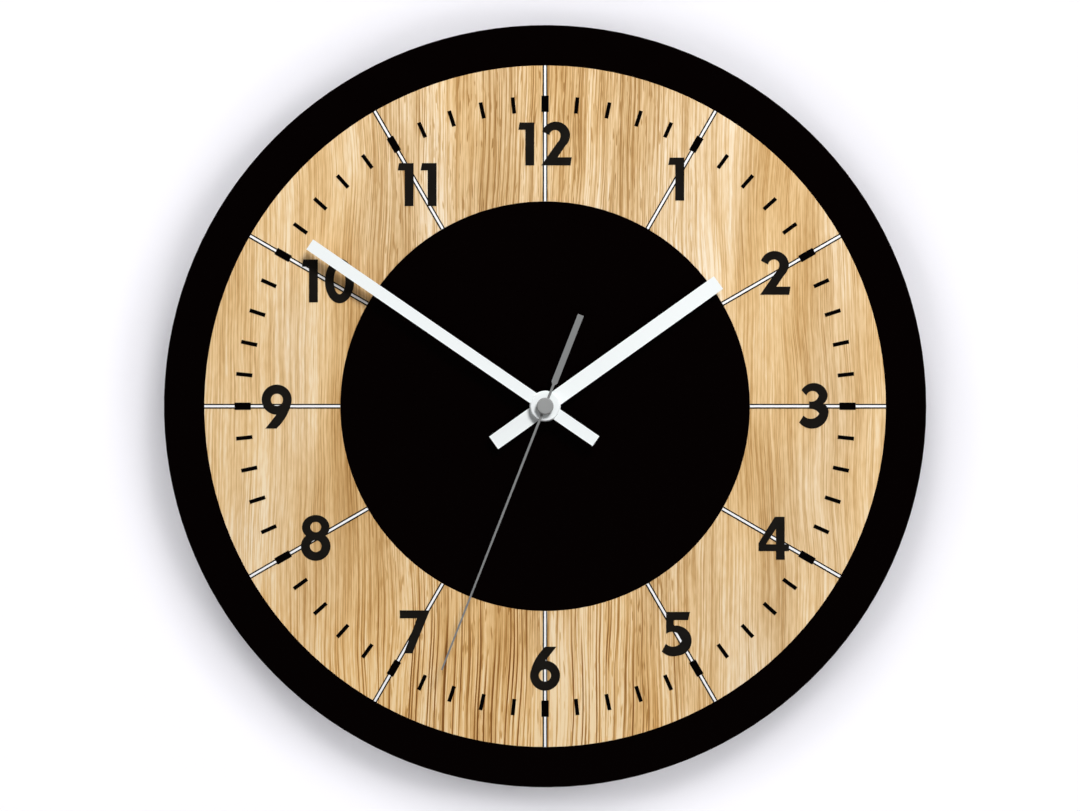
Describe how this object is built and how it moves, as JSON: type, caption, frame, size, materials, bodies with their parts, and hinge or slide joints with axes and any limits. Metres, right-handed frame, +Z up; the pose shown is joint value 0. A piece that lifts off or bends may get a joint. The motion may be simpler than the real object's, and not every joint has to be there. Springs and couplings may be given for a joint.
{
  "type": "quartz wall clock",
  "caption": "Round wall clock: black rim and centre disc, oak dial with numerals, white baton hands, grey second hand, geared quartz movement, cell and hanger.",
  "frame": {"origin": "the point on the wall plane where the nail carries the top of the hanger's slot, 45.1 mm above the hands' axis", "axes": "+Z up, -Y towards the reader, +Y into the wall, +X to the right as the dial is read; the wall plane is y = 0"},
  "size_m": [0.3, 0.0364, 0.3],
  "materials": {
    "black_board": "black fibreboard, matt",
    "black_acrylic": "black acrylic sheet, fine matt face",
    "oak": "pale oak veneer, vertical grain, matt lacquer",
    "black_ink": "printed black",
    "white_ink": "printed white",
    "charcoal_vinyl": "cut charcoal vinyl",
    "zinc_steel": "zinc plated sheet steel",
    "rubber": "black rubber",
    "brass": "turned brass",
    "black_plastic": "moulded ABS, fine texture",
    "white_plastic": "moulded acetal",
    "board": "green glass-fibre board",
    "tin": "tinned steel",
    "resin": "black resin drop",
    "copper_wire": "enamelled copper wire",
    "soft_iron": "soft iron sheet",
    "spring_brass": "nickelled spring brass",
    "cell_wrap": "plain printed shrink wrap",
    "magnet": "sintered magnet",
    "white_paint": "aluminium painted matt white",
    "grey_paint": "aluminium painted grey",
    "grey_plastic": "moulded grey cap"
  },
  "bodies": {
    "movement_and_dial": {"back_panel": "black_board", "rim_ring": "black_acrylic", "oak_dial": "oak", "centre_disc": "black_acrylic", "minute_ticks": "black_ink", "hour_blocks": "black_ink", "hour_lines": "white_ink", "hour_line_edges": "black_ink", "hour_numerals": "charcoal_vinyl", "wall_hanger": "zinc_steel", "cushion_washer": "rubber", "dial_washer": "brass", "fixing_nut": "brass", "threaded_bush": "brass", "case_front": "black_plastic", "case_rear": "black_plastic", "circuit_board": "board", "quartz_crystal": "tin", "chip": "resin", "coil_bobbin": "white_plastic", "coil_winding": "copper_wire", "coil_core": "soft_iron", "coil_leads": "copper_wire", "stator": "soft_iron", "contact_positive": "spring_brass", "contact_negative": "spring_brass"},
    "second_hand_set": {"seconds_wheel": "white_plastic", "second_hand": "grey_paint", "second_hand_tube": "brass", "second_hand_cap": "grey_plastic"},
    "minute_hand_set": {"cannon_pinion": "white_plastic", "clutch_spring": "spring_brass", "minute_hand": "white_paint", "minute_hand_collar": "brass"},
    "hour_hand_set": {"hour_wheel": "white_plastic", "hour_hand": "white_paint", "hour_hand_collar": "brass"},
    "rotor": {"rotor_magnet": "magnet", "rotor_pinion": "white_plastic"},
    "intermediate": {"intermediate_wheel": "white_plastic"},
    "third": {"third_wheel": "white_plastic"},
    "centre": {"centre_wheel": "white_plastic"},
    "minute_work": {"minute_work_wheel": "white_plastic"},
    "setting": {"setting_gear": "white_plastic", "setting_knob": "black_plastic"},
    "cell": {"battery_cell": "cell_wrap", "battery_terminals": "tin"}
  },
  "joints": [
    {"name": "second_hand_turn", "type": "hinge", "parent": "movement_and_dial", "child": "second_hand_set", "pos_m": [0, -0.01, -0.0451], "axis": [0, 1, 0], "continuous": true},
    {"name": "minute_hand_turn", "type": "hinge", "parent": "movement_and_dial", "child": "minute_hand_set", "pos_m": [0, -0.01, -0.0451], "axis": [0, 1, 0], "continuous": true},
    {"name": "hour_hand_turn", "type": "hinge", "parent": "movement_and_dial", "child": "hour_hand_set", "pos_m": [0, -0.01, -0.0451], "axis": [0, 1, 0], "continuous": true},
    {"name": "rotor_spin", "type": "hinge", "parent": "movement_and_dial", "child": "rotor", "pos_m": [0, -0.01, -0.0311], "axis": [0, 1, 0], "continuous": true},
    {"name": "intermediate_spin", "type": "hinge", "parent": "movement_and_dial", "child": "intermediate", "pos_m": [0, -0.01, -0.0371], "axis": [0, 1, 0], "continuous": true},
    {"name": "third_spin", "type": "hinge", "parent": "movement_and_dial", "child": "third", "pos_m": [0.00729, -0.01, -0.04775], "axis": [0, 1, 0], "continuous": true},
    {"name": "centre_spin", "type": "hinge", "parent": "movement_and_dial", "child": "centre", "pos_m": [0, -0.01, -0.0451], "axis": [0, 1, 0], "continuous": true},
    {"name": "minute_work_spin", "type": "hinge", "parent": "movement_and_dial", "child": "minute_work", "pos_m": [-0.00789, -0.01, -0.04797], "axis": [0, 1, 0], "continuous": true},
    {"name": "setting_knob_turn", "type": "hinge", "parent": "movement_and_dial", "child": "setting", "pos_m": [-0.01698, -0.01, -0.04797], "axis": [0, 1, 0], "continuous": true},
    {"name": "battery_lift", "type": "slide", "parent": "movement_and_dial", "child": "cell", "axis": [0, 1, 0], "range_m": [0, 0.03]}
  ],
  "couplings": [
    {"joint": "rotor_spin", "follows": "second_hand_turn", "ratio": 30},
    {"joint": "intermediate_spin", "follows": "second_hand_turn", "ratio": -6},
    {"joint": "third_spin", "follows": "second_hand_turn", "ratio": -0.13333},
    {"joint": "centre_spin", "follows": "second_hand_turn", "ratio": 0.016667},
    {"joint": "hour_hand_turn", "follows": "minute_hand_turn", "ratio": 0.083333},
    {"joint": "minute_work_spin", "follows": "minute_hand_turn", "ratio": -0.33333},
    {"joint": "setting_knob_turn", "follows": "minute_hand_turn", "ratio": 0.75}
  ]
}
